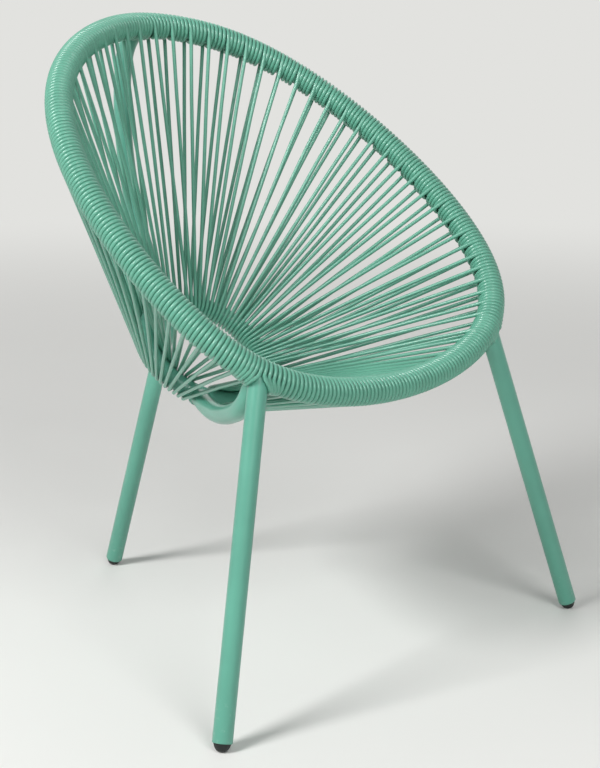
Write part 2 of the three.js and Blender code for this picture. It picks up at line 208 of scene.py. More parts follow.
blackGlideLook = {
    "colour": "0c1412",
    "worn": "2c312f",
    "roughness": 0.55,
    "pits": 1500,
    "pitRoughness": 0.3,
    "rubs": 500,
    "rubHeights": (0.0004, 0.004),  # between these the wear fades
    "bump": (0.0004, 0.3),
}
blackGlide = Finish("blackGlide", **{"IOR": 1.5})
pits = blackGlide.noise(blackGlideLook["pits"], 4, 0.6)
treadWear = blackGlide.between(blackGlide.height(), *blackGlideLook["rubHeights"], 1.0, 0.0)
rubbed = treadWear * blackGlide.noise(blackGlideLook["rubs"], 4)
blackGlide.drive("Base Color", blackGlide.mix(
    rubbed, tint(blackGlideLook["colour"]), tint(blackGlideLook["worn"])))
blackGlide.drive("Roughness", blackGlideLook["roughness"] + (pits - 0.5) * blackGlideLook["pitRoughness"])
blackGlide.bump(*blackGlideLook["bump"], pits)
print("finishes mixed")


# Tools for tubes
def unit(v):
    return v / np.linalg.norm(v, axis=-1, keepdims=True)


def square(v, axis):
    # v turned square to axis, of length 1
    return unit(v - (v * axis).sum(-1, keepdims=True) * axis)


def runsOf(path, closed=False):
    if closed:
        return unit(np.roll(path, -1, 0) - np.roll(path, 1, 0))
    step = np.zeros_like(path)
    step[1:-1] = unit(path[2:] - path[1:-1]) + unit(path[1:-1] - path[:-2])
    step[0] = path[1] - path[0]
    step[-1] = path[-1] - path[-2]
    return unit(step)


def carriedNormals(path, first):
    # normals carried along a path without twist
    runs = runsOf(path)
    normals = np.zeros_like(path)
    normals[0] = square(np.array(first), runs[0])
    for i in range(1, len(path)):
        normals[i] = square(normals[i - 1], runs[i])
    return normals


def smoothCurve(points, steps, fineSteps=40):
    # evenly spaced points on a smooth curve through the given ones
    points = np.array(points, float)
    gaps = np.sqrt(np.linalg.norm(np.diff(points, axis=0), axis=1))
    knots = np.concatenate([[0], np.cumsum(gaps)])
    first = 2 * points[0] - points[1]
    last = 2 * points[-1] - points[-2]
    full = np.vstack([first, points, last])
    marks = np.concatenate([[-gaps[0]], knots, [knots[-1] + gaps[-1]]])
    fine = []
    for i in range(1, len(full) - 2):
        p0, p1, p2, p3 = full[i - 1:i + 3]
        t0, t1, t2, t3 = marks[i - 1:i + 3]
        t = np.linspace(t1, t2, fineSteps, endpoint=False)[:, None]
        a1 = (t1 - t) / (t1 - t0) * p0 + (t - t0) / (t1 - t0) * p1
        a2 = (t2 - t) / (t2 - t1) * p1 + (t - t1) / (t2 - t1) * p2
        a3 = (t3 - t) / (t3 - t2) * p2 + (t - t2) / (t3 - t2) * p3
        b1 = (t2 - t) / (t2 - t0) * a1 + (t - t0) / (t2 - t0) * a2
        b2 = (t3 - t) / (t3 - t1) * a2 + (t - t1) / (t3 - t1) * a3
        fine.append((t2 - t) / (t2 - t1) * b1 + (t - t1) / (t2 - t1) * b2)
    fine = np.vstack(fine + [points[-1:]])
    lengths = np.concatenate([[0], np.cumsum(np.linalg.norm(np.diff(fine, axis=0), axis=1))])
    even = np.linspace(0, lengths[-1], steps + 1)
    return np.stack([np.interp(even, lengths, fine[:, k]) for k in range(3)], 1)


mapMargin = {"along": 0.005, "across": 0.06}  # shares left bare round a row of a tube's map


def tubeSkin(path, normals, radius, sides, closed=False, rowCount=1):
    # points, faces and a map of a round tube; its map is cut into rows
    runs = runsOf(path, closed)
    other = np.cross(runs, normals)
    angles = np.arange(sides) / sides * fullTurn
    radii = np.broadcast_to(np.asarray(radius, float), len(path))[:, None, None]
    rings = path[:, None] + radii * (np.cos(angles)[None, :, None] * normals[:, None]
                                     + np.sin(angles)[None, :, None] * other[:, None])
    points = rings.reshape(-1, 3)
    count = len(path)
    spans = count if closed else count - 1
    steps = np.linalg.norm(np.roll(path, -1, 0) - path, axis=1)[:spans]
    total = steps.sum()
    ends = np.cumsum(steps)
    starts = ends - steps
    rowOf = np.minimum((starts / total * rowCount).astype(int), rowCount - 1)
    rowStart = np.array([starts[rowOf == r].min() for r in range(rowCount)])
    rowEnd = np.array([ends[rowOf == r].max() for r in range(rowCount)])
    widest = (rowEnd - rowStart).max()
    inside = (1 - 2 * mapMargin["along"]) / widest
    left = mapMargin["along"] + inside * (starts - rowStart[rowOf])
    right = mapMargin["along"] + inside * (ends - rowStart[rowOf])
    i = np.arange(spans)[:, None]
    k = np.arange(sides)[None, :]
    nextRing = (i + 1) % count
    nextSide = (k + 1) % sides
    faces = np.stack([i * sides + k, i * sides + nextSide,
                      nextRing * sides + nextSide, nextRing * sides + k], -1).reshape(-1, 4)
    foot = rowOf[:, None] + mapMargin["across"]
    sideHeight = (1 - 2 * mapMargin["across"]) / sides
    low = (foot + sideHeight * k) / rowCount
    high = (foot + sideHeight * (k + 1)) / rowCount
    across = np.broadcast_to(left[:, None], low.shape), np.broadcast_to(right[:, None], low.shape)
    corners = np.stack([np.stack([across[0], low], -1), np.stack([across[0], high], -1),
                        np.stack([across[1], high], -1), np.stack([across[1], low], -1)], -2)
    return points, faces[:, ::-1], corners.reshape(-1, 4, 2)[:, ::-1]


def addPiece(name, points, faces, finish, nodes, corners=None, crease=None):
    mesh = bpy.data.meshes.new(name)
    mesh.from_pydata([tuple(p) for p in points], [], [tuple(int(n) for n in f) for f in faces])
    if corners is not None:
        layer = mesh.uv_layers.new(name="OFBake")
        layer.data.foreach_set("uv", np.asarray(corners, np.float32).ravel())
    mesh.polygons.foreach_set("use_smooth", np.ones(len(faces), bool))
    mesh.update()
    if crease:
        mesh.set_sharp_from_angle(angle=math.radians(crease))
    mesh.materials.append(finish.material)
    piece = bpy.data.objects.new(name, mesh)
    bpy.context.scene.collection.objects.link(piece)
    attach(piece, "root")
    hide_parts(*nodes)


def joined(*parts):
    # several skins as one
    points, faces, shift = [], [], 0
    for partPoints, partFaces in parts:
        points.extend(partPoints)
        faces.extend([[n + shift for n in f] for f in partFaces])
        shift += len(partPoints)
    return points, faces


# The hoop, the ring, and where they run
hoop = {
    "width": [0.28324, 0.05147, -0.00377, 0.00475, 0.00333],  # x, from sines of the turn
    "depth": [-0.02402, -0.26683, -0.00768, 0.02428, 0.00336, -0.00421],  # y, from cosines
    "height": [0.6226, -0.23377, -0.0188, 0.01377, -0.0011, -0.00231],  # z, from cosines
    "samples": 5760,
    "steps": 720,
    "sides": 32,
    "mapRows": 5,
    "legTurn": 0.637,  # where the front legs meet it
    "nudge": 0.001,  # turn to each side that gives the way it runs
    "weldEvery": 6,  # every sixth sample is enough for a weld
}
steel = {
    "tube": 0.025,
    "weld": 0.0024,  # half the width of a weld bead
    "weldPitch": 0.0032,
    "weldWave": (0.82, 0.22),  # shares of a bead's thickness, between ripples and what they add
    "weldSides": 10,
    "weldSpokes": 96,
    "weldSteps": 260,
    "weldReach": 0.05,  # how far along a tube its weld is looked for
    "weldSearch": 0.08,  # how much of the other tube is looked at
    "weldWay": (0.3, 1, 0.2),  # any direction that no tube runs in
    "sides": 40,
    "seamWay": (0, 1, 0.2),
    "crease": 50,  # degrees from which an edge stays sharp
}
tubeRadius = steel["tube"] / 2


def hoopAt(turn):
    turn = np.asarray(turn, float)
    return np.stack([
        sum(term * np.sin((k + 1) * turn) for k, term in enumerate(hoop["width"])),
        sum(term * np.cos(k * turn) for k, term in enumerate(hoop["depth"])),
        sum(term * np.cos(k * turn) for k, term in enumerate(hoop["height"])),
    ], -1)


sampleTurns = np.linspace(0, fullTurn, hoop["samples"] + 1)
samplePoints = hoopAt(sampleTurns)
sampleLengths = np.concatenate(
    [[0], np.cumsum(np.linalg.norm(np.diff(samplePoints, axis=0), axis=1))])
hoopLength = sampleLengths[-1]

ring = {
    "radius": 0.092,
    "centre": np.array([0, 0.0884, 0.3723]),
    "tilt": math.radians(40),
    "steps": 160,
    "mapRows": 3,
}
ringNormal = np.array([0, -math.sin(ring["tilt"]), math.cos(ring["tilt"])])
ringForward = np.array([0, -math.cos(ring["tilt"]), -math.sin(ring["tilt"])])
rightward = np.array([1.0, 0, 0])


def ringAt(turn):
    turn = np.asarray(turn, float)[..., None]
    return ring["centre"] + ring["radius"] * (ringForward * np.cos(turn) + rightward * np.sin(turn))


def ringRun(turn):
    turn = np.asarray(turn, float)[..., None]
    return rightward * np.cos(turn) - ringForward * np.sin(turn)


def hoopSpot(place):
    # centre, run, inward and top of the hoop at places along it
    place = np.mod(np.asarray(place, float), hoopLength)
    turn = np.interp(place, sampleLengths, sampleTurns)
    centre = hoopAt(turn)
    run = unit(hoopAt(turn + hoop["nudge"]) - hoopAt(turn - hoop["nudge"]))
    inward = square(ring["centre"] - centre, run)
    return centre, run, inward, np.cross(run, inward)


hoopPlaces = np.linspace(0, hoopLength, hoop["steps"], endpoint=False)
hoopCentres, _, hoopInward, _ = hoopSpot(hoopPlaces)
skin = tubeSkin(hoopCentres, hoopInward, tubeRadius, hoop["sides"], True, hoop["mapRows"])
addPiece("hoopTube", skin[0], skin[1], mintPaint, ["hoop_tube"], skin[2])

ringTurns = np.linspace(0, fullTurn, ring["steps"], endpoint=False)
ringCentres = ringAt(ringTurns)
ringNormals = np.broadcast_to(ringNormal, ringCentres.shape)
skin = tubeSkin(ringCentres, ringNormals, tubeRadius, steel["sides"], True, ring["mapRows"])
addPiece("seatRing", skin[0], skin[1], mintPaint, ["seat_ring"], skin[2])
print("hoop and ring bent, hoop length", round(hoopLength, 4))


# Legs, struts, welds and foot glides
legs = {
    "spread": 0.3429,
    "front": -0.3117,
    "back": 0.3117,
    "capHeight": 0.0108,  # where the tube ends above the foot point, along the leg
    "wall": 0.0015,
    "rim": 0.0012,  # height of the rolled lower rim
    "wallShares": (0.75, 0.3),  # of the wall, where the rim is lowest
    "lowShare": 0.02,
    "openDepth": 0.02,
    "tip": 0.0004,  # radius left open at the hidden upper end
    "steps": 24,
}
strut = {
    "ringTurn": math.radians(42),
    "lean": 0.7,
    "shares": [0, 0.055, 0.085, 0.15, 0.281, 0.451, 0.631, 0.794, 0.945, 1],
    "drops": [0, 0.018, 0.0315, 0.0412, 0.0444, 0.0419, 0.033, 0.0208, 0.007, 0.002],
    "back": [(0.2184, 0.8247), (0.236, 0.812), (0.252, 0.790), (0.260, 0.755), (0.263, 0.705),
             (0.258, 0.640), (0.243, 0.570), (0.219, 0.508), (0.188, 0.458), (0.1589, 0.4315)],
    "steps": 90,
    "frontAim": 5,  # steps along a strut that give its direction at a weld
    "backAim": 6,
    "endAim": 5,
}
mirror = np.array([-1.0, 1, 1])
frontJoint = hoopAt(hoop["legTurn"])
frontJointPlace = float(np.interp(hoop["legTurn"], sampleTurns, sampleLengths))
backJoint = ringAt(math.pi)
frontFoot = np.array([legs["spread"], legs["front"], 0])
backFoot = np.array([0, legs["back"], 0])

strutEnd = ringAt(strut["ringTurn"])
strutLine = unit(strutEnd - frontJoint)
strutSide = square(ringRun(strut["ringTurn"]), strutLine)
seatNormal = np.cross(strutSide, strutLine)
leaning = np.array([0, 0, 1]) * (1 - strut["lean"]) + seatNormal * strut["lean"]
strutUp = square(leaning, strutLine)
strutPoints = [frontJoint * (1 - s) + strutEnd * s - strutUp * d
               for s, d in zip(strut["shares"], strut["drops"])]
frontStrutPath = smoothCurve(strutPoints, strut["steps"])
backStrutPath = smoothCurve([(0, y, z) for y, z in strut["back"]], strut["steps"])


def gapTo(points, line):
    return np.linalg.norm(points[..., None, :] - line, axis=-1).min(-1)


def weldSkin(start, away, line):
    # a rippled bead where a tube that leaves start meets another tube along line
    away = unit(away)
    side = square(np.array(steel["weldWay"]), away)
    other = np.cross(away, side)
    angles = np.linspace(0, fullTurn, steel["weldSpokes"], endpoint=False)
    depths = np.linspace(0, steel["weldReach"], steel["weldSteps"])
    edge = start + tubeRadius * (np.cos(angles)[:, None] * side + np.sin(angles)[:, None] * other)
    spots = edge[:, None] + depths[None, :, None] * away
    near = line[gapTo(line, start[None]) < steel["weldSearch"]]
    outside = gapTo(spots, near) > tubeRadius
    first = np.argmax(outside, axis=1)
    bead = edge + depths[first][:, None] * away
    bead = (bead + (np.roll(bead, 1, 0) + np.roll(bead, -1, 0)) / 2) / 2
    lengths = np.cumsum(np.linalg.norm(np.roll(bead, -1, 0) - bead, axis=1))
    even = np.linspace(0, lengths[-1], steel["weldSteps"], endpoint=False)
    bead = np.stack([np.interp(even, np.concatenate([[0], lengths]),
                               np.append(bead[:, k], bead[0, k])) for k in range(3)], 1)
    ripples = round(lengths[-1] / steel["weldPitch"])
    phase = even / lengths[-1] * ripples % 1
    least, added = steel["weldWave"]
    radii = steel["weld"] * (least + added * np.abs(np.cos(phase * math.pi)))
    normals = square(bead - (start + ((bead - start) @ away)[:, None] * away), runsOf(bead, True))
    points, faces, _ = tubeSkin(bead, normals, radii, steel["weldSides"], closed=True)
    return points, faces


def lathed(profile, sides, foot, run):
    # points of a shape turned round a line that starts at foot
    side = square(np.array(steel["seamWay"]), run)
    other = np.cross(run, side)
    angles = np.arange(sides) / sides * fullTurn
    return [foot + h * run + r * (math.cos(a) * side + math.sin(a) * other)
            for r, h in profile for a in angles]


def legSkin(foot, top):
    # a straight tube with a rolled lower rim and an open end that the glide fills
    height = np.linalg.norm(top - foot)
    wall = legs["wall"]
    rim = legs["rim"]
    end = legs["capHeight"]
    bore = tubeRadius - wall
    inner, outer = legs["wallShares"]
    profile = [(bore, end + legs["openDepth"]), (bore, end + rim / 2),
               (tubeRadius - wall * inner, end + rim / 12), (tubeRadius - wall * outer, end),
               (tubeRadius - rim / 12, end + rim / 3), (tubeRadius, end + rim)]
    for share in np.linspace(legs["lowShare"], 1, legs["steps"]):
        profile.append((tubeRadius, end + rim + (height - end - rim) * share))
    profile.append((legs["tip"], height))
    points = lathed(profile, steel["sides"], foot, unit(top - foot))
    return points, latheFaces(len(profile), steel["sides"])


def latheFaces(rows, sides):
    faces = []
    for i in range(rows - 1):
        for k in range(sides):
            n = (k + 1) % sides
            faces.append([i * sides + k, i * sides + n, (i + 1) * sides + n, (i + 1) * sides + k])
    faces.append([(rows - 1) * sides + k for k in range(sides)])
    return faces


def addSteel(name, node, skins, flip):
    points, faces = joined(*skins)
    points = np.array(points)
    if flip:
        points = points * mirror
        faces = [f[::-1] for f in faces]
    addPiece(name, points, faces, mintPaint, [node], crease=steel["crease"])


def openTube(path):
    sides = steel["sides"]
    points, faces, _ = tubeSkin(path, carriedNormals(path, rightward), tubeRadius, sides)
    ends = [[k for k in range(sides)], [len(points) - 1 - k for k in range(sides)]]
    return list(points), [list(f) for f in faces] + ends


hoopNear = samplePoints[::hoop["weldEvery"]]


def strutSkins(path, aim):
    # a strut, welded to the hoop and to the ring
    return [
        openTube(path),
        weldSkin(path[0], path[aim] - path[0], hoopNear),
        weldSkin(path[-1], path[-1 - strut["endAim"]] - path[-1], ringCentres),
    ]


rightLeg = [legSkin(frontFoot, frontJoint), weldSkin(frontJoint, frontFoot - frontJoint, hoopNear)]
rightStrut = strutSkins(frontStrutPath, strut["frontAim"])
for side, flip in (("right", False), ("left", True)):
    addSteel(side + "FrontLeg", side + "_front_leg", rightLeg, flip)
    addSteel(side + "FrontStrut", side + "_front_strut", rightStrut, flip)
rearLeg = [legSkin(backFoot, backJoint), weldSkin(backJoint, backFoot - backJoint, ringCentres)]
addSteel("rearLeg", "rear_leg", rearLeg, False)
addSteel("backStrut", "back_strut", strutSkins(backStrutPath, strut["backAim"]), False)
print("legs and struts welded")

glide = {
    "sides": 48,
    # radius and height along the leg, from the plug inside the tube to the tread
    "profile": [(0.0100, 0.034), (0.0106, 0.033), (0.0108, 0.0135), (0.0108, 0.0112),
                (0.0107, 0.0098), (0.0103, 0.0085), (0.0096, 0.0066), (0.0086, 0.0046),
                (0.0076, 0.0030), (0.0063, 0.0017), (0.0045, 0.0008), (0.0022, 0.0003),
                (0.0003, 0.0002)],
    "treadHeight": 0.009,  # below this a leaning glide is lowered
    "treadFlat": 0.0006,  # and cut flat on the floor
}


def addGlide(name, node, foot, top):
    points = np.array(lathed(glide["profile"], glide["sides"], foot, unit(top - foot)))
    heights = points[:, 2]
    drop = heights.min() + glide["treadFlat"]
    points[:, 2] = np.maximum(heights - drop * (heights < glide["treadHeight"]), 0.0)
    faces = latheFaces(len(glide["profile"]), glide["sides"]) + [list(range(glide["sides"]))[::-1]]
    addPiece(name, points, [f[::-1] for f in faces], blackGlide, [node])


addGlide("rightFrontGlide", "right_front_foot", frontFoot, frontJoint)
addGlide("leftFrontGlide", "left_front_foot", frontFoot * mirror, frontJoint * mirror)
addGlide("rearGlide", "rear_foot", backFoot, backJoint)
print("glides fitted")


# The cord: turns round the hoop, and pairs of seat cords hooked round the ring
stringing = {
    "cord": 0.0058,
    "bed": 0.0003,  # gap between cord and steel
    "frontPairs": 16,
    "closePairs": 8,  # on each side, close together behind the front leg
    "widePairs": 20,
    "frontWraps": 4,  # turns seen between two pairs
    "closeWraps": 4,
    "wideWraps": 5,
    "jointWraps": 7,
    "backWraps": 5,
    "frontGap": 0.0375,  # from the joint with the front leg to the first pair of the front
    "sideGap": 0.007,
    "closeReach": 0.166,
    "backGap": 0.0155,
    "strutGap": math.radians(9.6),  # on the ring
    "stretched": 0.9,  # how thick the taut seat cords stay
    "taper": 4,  # points over which they thin
    "legGap": math.radians(11),
    "slant": 0.35,  # how far the turns follow the slant of the seat cords
    "stepsPerTurn": 28,
    "straightSteps": 17,
    "hookSteps": 12,
    "ease": 0.86,  # how much the points gather at the ends of a seat cord
    "sides": 12,
    "mapSlack": 1.12,  # width of the cord's map for its height
    "jointReach": 0.03,  # how far from a joint its turns move aside
    "jointSearch": 0.06,  # how far from a joint they may touch its tubes
    "legSteps": 90,
    "legSeen": 0.09,  # length of a leg that can bar the turns
    "strutSeen": 40,  # steps of a strut that can
    "legClearance": 0.0002,
    "angleBins": 72,  # angles round the hoop at which the way of the turns is judged
    "bandReach": 0.04,
    "bandStep": 0.0005,
    "bandBlur": 2,
    "rideUp": 0.0034,  # how far turns may climb on a leg before they move aside
    "jointLift": 0.0042,
    "placeJitter": 0.0005,
    "ringJitter": math.radians(0.16),
    "bow": 0.0005,
    "softReach": 6,  # points eased on each side of a corner
    "softShare": 0.5,
    "softPasses": 14,
    "seed": 7,
}
cordRadius = stringing["cord"] / 2
layRadius = tubeRadius + stringing["bed"] + cordRadius
chance = np.random.default_rng(stringing["seed"])

backJointPlace = hoopLength / 2
sidePairs = stringing["closePairs"] + stringing["widePairs"]
closeEnd = frontJointPlace + stringing["closeReach"]
closeHoop = np.linspace(frontJointPlace + stringing["sideGap"], closeEnd, stringing["closePairs"])
wideHoop = np.linspace(closeEnd, backJointPlace - stringing["backGap"], stringing["widePairs"] + 1)[1:]
sideHoop = np.concatenate([closeHoop, wideHoop])
sideRing = np.linspace(
    strut["ringTurn"] + stringing["strutGap"], math.pi - stringing["legGap"], sidePairs)
frontEnd = frontJointPlace - stringing["frontGap"]
frontHoop = np.linspace(-frontEnd, frontEnd, stringing["frontPairs"])
frontRingEnd = strut["ringTurn"] - stringing["strutGap"]
frontRing = np.linspace(-frontRingEnd, frontRingEnd, stringing["frontPairs"])

# From the back round the left side, the front and the right side, to the back again
pairPlaces = np.concatenate([
    hoopLength - sideHoop[::-1], hoopLength + frontHoop, hoopLength + sideHoop])
pairTurns = np.concatenate([fullTurn - sideRing[::-1], fullTurn + frontRing, fullTurn + sideRing])
pairPlaces = pairPlaces + chance.uniform(-1, 1, len(pairPlaces)) * stringing["placeJitter"]
pairTurns = pairTurns + chance.uniform(-1, 1, len(pairTurns)) * stringing["ringJitter"]
closeWraps = [stringing["closeWraps"]] * (stringing["closePairs"] - 1)
wideWraps = [stringing["wideWraps"]] * stringing["widePairs"]
frontWraps = [stringing["frontWraps"]] * (stringing["frontPairs"] - 1)
wrapCounts = (wideWraps + closeWraps + [stringing["jointWraps"]] + frontWraps
              + [stringing["jointWraps"]] + closeWraps + wideWraps + [stringing["backWraps"]])


def legLine(foot, top):
    shares = np.linspace(0, stringing["legSeen"], stringing["legSteps"])
    return top + shares[:, None] * unit(foot - top)


angleBins = stringing["angleBins"]
binAngles = np.arange(angleBins) / angleBins * fullTurn


def blockedBand(place, lines):
    # how far the tubes at a joint bar the turns to both sides, by angle round the hoop
    reach = stringing["bandReach"]
    step = stringing["bandStep"]
    shifts = np.arange(-reach, reach + step / 5, step)
    centre, _, inward, top = hoopSpot(place + shifts)
    spots = centre[:, None] + layRadius * (np.cos(binAngles)[None, :, None] * inward[:, None]
                                           + np.sin(binAngles)[None, :, None] * top[:, None])
    gaps = np.min([gapTo(spots, line) for line in lines], axis=0)
    blocked = gaps < tubeRadius + cordRadius - stringing["rideUp"]
    low = np.zeros(angleBins)
    high = np.zeros(angleBins)
    for k in range(angleBins):
        if blocked[:, k].any():
            low[k] = min(shifts[blocked[:, k]].min(), 0)
            high[k] = max(shifts[blocked[:, k]].max(), 0)
    free = (low == 0) & (high == 0)
    middle = np.angle(np.sum(np.exp(1j * binAngles[free])))
    around = range(-stringing["bandBlur"], stringing["bandBlur"] + 1)
    low = np.min([np.roll(low, n) for n in around], axis=0)
    high = np.max([np.roll(high, n) for n in around], axis=0)
    low = sum(np.roll(low, n) for n in around) / len(around)
    high = sum(np.roll(high, n) for n in around) / len(around)
    return {"place": place, "low": low, "high": high, "free": middle % fullTurn, "shift": 0}


rightLines = [legLine(frontFoot, frontJoint), frontStrutPath[:stringing["strutSeen"]]]
leftLines = [line * mirror for line in rightLines]
backLines = [backStrutPath[:stringing["strutSeen"]]]
joints = [
    blockedBand(hoopLength - frontJointPlace, leftLines),
    blockedBand(hoopLength + frontJointPlace, rightLines),
    blockedBand(hoopLength + backJointPlace, backLines),
]
for joint in joints:
    print("joint at", round(joint["place"], 3), "free at", round(math.degrees(joint["free"])),
          "bars", round(joint["low"].min() * 1000, 1), round(joint["high"].max() * 1000, 1))


def fanned(place, angle):
    # moves turns near a joint clear of its tubes; also how far they ride up there
    place = np.array(place, float)
    angle = angle % fullTurn
    lift = np.zeros_like(place)
    reach = stringing["jointReach"]
    for joint in joints:
        shift = joint["shift"]
        low = np.interp(angle, binAngles, joint["low"], period=fullTurn)
        high = np.interp(angle, binAngles, joint["high"], period=fullTurn)
        crowding = (high - low) / (joint["high"] - joint["low"]).max()
        for lap in (-hoopLength, 0, hoopLength):
            offset = place - (joint["place"] + lap + shift)
            near = np.abs(offset) < reach
            if not near.any():
                continue
            before = low + offset * (reach + low - shift) / reach
            after = high + offset * (reach - high + shift) / reach
            moved = joint["place"] + lap + np.where(offset < 0, before, after)
            rise = stringing["jointLift"] * (1 - np.abs(offset) / reach) * crowding
            lift = np.where(near, np.maximum(lift, rise), lift)
            place = np.where(near, moved, place)
    return place, lift


def clearOf(points):
    # turns that touch a leg or strut at a joint climb over it
    need = tubeRadius + cordRadius + stringing["legClearance"]
    for line in rightLines + leftLines + backLines:
        near = np.where(gapTo(points, line[:1]) < stringing["jointSearch"])[0]
        if len(near):
            away = points[near, None, :] - line
            gap = np.linalg.norm(away, axis=-1)
            closest = gap.argmin(-1)
            rows = np.arange(len(near))
            short = np.maximum(need - gap[rows, closest], 0)
            points[near] += unit(away[rows, closest]) * short[:, None]
    return points


def slantAt(place):
    # how far along the hoop the seat cords head for each length that they run inward
    centre, run, inward, _ = hoopSpot(pairPlaces)
    toRing = ringAt(pairTurns) - centre
    slants = (toRing * run).sum(-1) / (toRing * inward).sum(-1)
    return np.interp(place % hoopLength, pairPlaces % hoopLength, slants, period=hoopLength)


def layAt(place, angle):
    slant = stringing["slant"] * layRadius * slantAt(place) * np.cos(angle)
    place, lift = fanned(place, angle)
    centre, _, inward, top = hoopSpot(place + slant)
    return clearOf(centre + (layRadius + lift)[..., None] * (
        np.cos(angle)[..., None] * inward + np.sin(angle)[..., None] * top))


def pairEnd(place, ringTurn, sign):
    # where a seat cord leaves the hoop, and its directions; sign is 1 above and -1 below
    place, _ = fanned(np.array([place]), np.array([math.pi / 2 if sign > 0 else 1.5 * math.pi]))
    centre, run, inward, top = (v[0] for v in hoopSpot(place))
    toRing = unit(ringAt(ringTurn) - centre)
    side = square(ringRun(ringTurn), toRing)
    rise = np.cross(side, toRing)
    radial = square(rise, run) * sign
    angle = math.atan2(radial @ top, radial @ inward) % fullTurn
    return {"point": centre + layRadius * radial, "angle": angle, "toRing": toRing, "rise": rise}


def eased(count):
    u = np.linspace(0, 1, count + 1)
    return u - stringing["ease"] * np.sin(fullTurn * u) / fullTurn


def thickness(part, count):
    # full on the turns, a little thinner where the cord is taut
    if part == "turns":
        return np.ones(count)
    ramp = np.ones(count)
    if part != "hook":
        rise = np.minimum(np.arange(count) / stringing["taper"], 1)
        ramp = rise if part == "down" else rise[::-1]
    return 1 - ramp * (1 - stringing["stretched"])


def seatCords(place, ringTurn, pitch, bows):
    # below from the hoop to the ring, round its inner side, and back above; it leaves the hoop a
    # quarter turn before its place and comes back a quarter turn after it
    under = pairEnd(place - pitch / 4, ringTurn, -1)
    over = pairEnd(place + pitch / 4, ringTurn, 1)
    centre = ringAt(ringTurn)
    run = ringRun(ringTurn)
    rise = square(under["rise"] + over["rise"], run)
    inward = square(under["toRing"] + over["toRing"], run)
    inward = square(inward, rise)
    angles = np.linspace(math.pi, 0, stringing["hookSteps"] + 1)[:, None]
    hookRadius = tubeRadius + stringing["bed"] + cordRadius * stringing["stretched"]
    hook = centre + hookRadius * (np.cos(angles) * rise + np.sin(angles) * inward)
    share = eased(stringing["straightSteps"])[:, None]
    sideways = square(run, under["toRing"])
    down = under["point"] + share * (hook[0] - under["point"]) + 4 * share * (1 - share) * (
        bows[0] * sideways)
    up = hook[-1] + share * (over["point"] - hook[-1]) + 4 * share * (1 - share) * bows[1] * sideways
    return down, hook, up


gaps = np.diff(np.append(pairPlaces, pairPlaces[0] + hoopLength))
pitches = gaps / wrapCounts
path = []
thick = []
corners = []  # where turns become seat cords, and back
cuts = []
pairCount = len(pairPlaces)
bows = chance.uniform(-1, 1, (pairCount, 2)) * stringing["bow"]
jointAfter = {sidePairs - 1: 0, sidePairs + stringing["frontPairs"] - 1: 1, pairCount - 1: 2}


def wrapPitch(i):
    return (pitches[i] + pitches[i - 1]) / 2


def turnsBetween(i):
    # the turns from pair i to the next one
    after = (i + 1) % pairCount
    lap = hoopLength if i == pairCount - 1 else 0
    start = pairPlaces[i] + wrapPitch(i) / 4
    end = pairPlaces[after] + lap - wrapPitch(after) / 4
    startAngle = pairEnd(start, pairTurns[i], 1)["angle"]
    endAngle = pairEnd(end, pairTurns[after], -1)["angle"] + fullTurn * (wrapCounts[i] - 1)
    count = round((endAngle - startAngle) / fullTurn * stringing["stepsPerTurn"])
    share = np.linspace(0, 1, count + 1)
    return start + (end - start) * share, startAngle + (endAngle - startAngle) * share


# Each joint's turns part where they cross its free side nearest its middle
for i, number in jointAfter.items():
    joint = joints[number]
    places, angles = turnsBetween(i)
    crossings = np.abs(np.exp(1j * angles) - np.exp(1j * joint["free"]))
    local = [n for n in range(1, len(angles) - 1)
             if crossings[n] <= crossings[n - 1] and crossings[n] < crossings[n + 1]]
    best = min(local, key=lambda n: abs(places[n] - joint["place"]))
    joint["shift"] = places[best] - joint["place"]
    joint["step"] = best

for i in range(pairCount):
    down, hook, up = seatCords(pairPlaces[i], pairTurns[i], wrapPitch(i), bows[i])
    turns = layAt(*turnsBetween(i))
    corners.append(sum(len(p) for p in path))
    for part, points in (("down", down), ("hook", hook[1:]), ("up", up[1:])):
        path.append(points)
        thick.append(thickness(part, len(points)))
    corners.append(sum(len(p) for p in path))
    if i in jointAfter:
        cuts.append(corners[-1] + joints[jointAfter[i]]["step"] - 1)
    path.append(turns[1:-1])
    thick.append(thickness("turns", len(turns) - 2))
path = np.vstack(path)
thick = np.concatenate(thick) * cordRadius

# Ease the corners where turns become seat cords, along the hoop only, so that no turn sinks into it
softReach = stringing["softReach"]
weight = np.zeros(len(path))
hoopWay = np.zeros_like(path)
for corner, run in zip(corners, hoopSpot(np.repeat(pairPlaces, 2))[1]):
    for n in range(-softReach, softReach + 1):
        spot = (corner + n) % len(path)
        weight[spot] = stringing["softShare"] * (1 - abs(n) / (softReach + 1))
        hoopWay[spot] = run
for _ in range(stringing["softPasses"]):
    middle = (np.roll(path, 1, 0) + np.roll(path, -1, 0)) / 2
    move = ((middle - path) * hoopWay).sum(-1)
    path = path + (weight * move)[:, None] * hoopWay

# Start behind the back strut, where the last cut is
start = cuts[2] - len(path) if cuts[2] >= len(path) else cuts[2]
path = np.roll(path, -start, 0)
thick = np.roll(thick, -start)
cuts = [(c - start) % len(path) for c in cuts]
path = np.vstack([path, path[:1]])
thick = np.append(thick, thick[0])
cordLength = np.linalg.norm(np.diff(path, axis=0), axis=1).sum()
print("cord strung:", pairCount, "pairs,", round(cordLength, 2), "m")

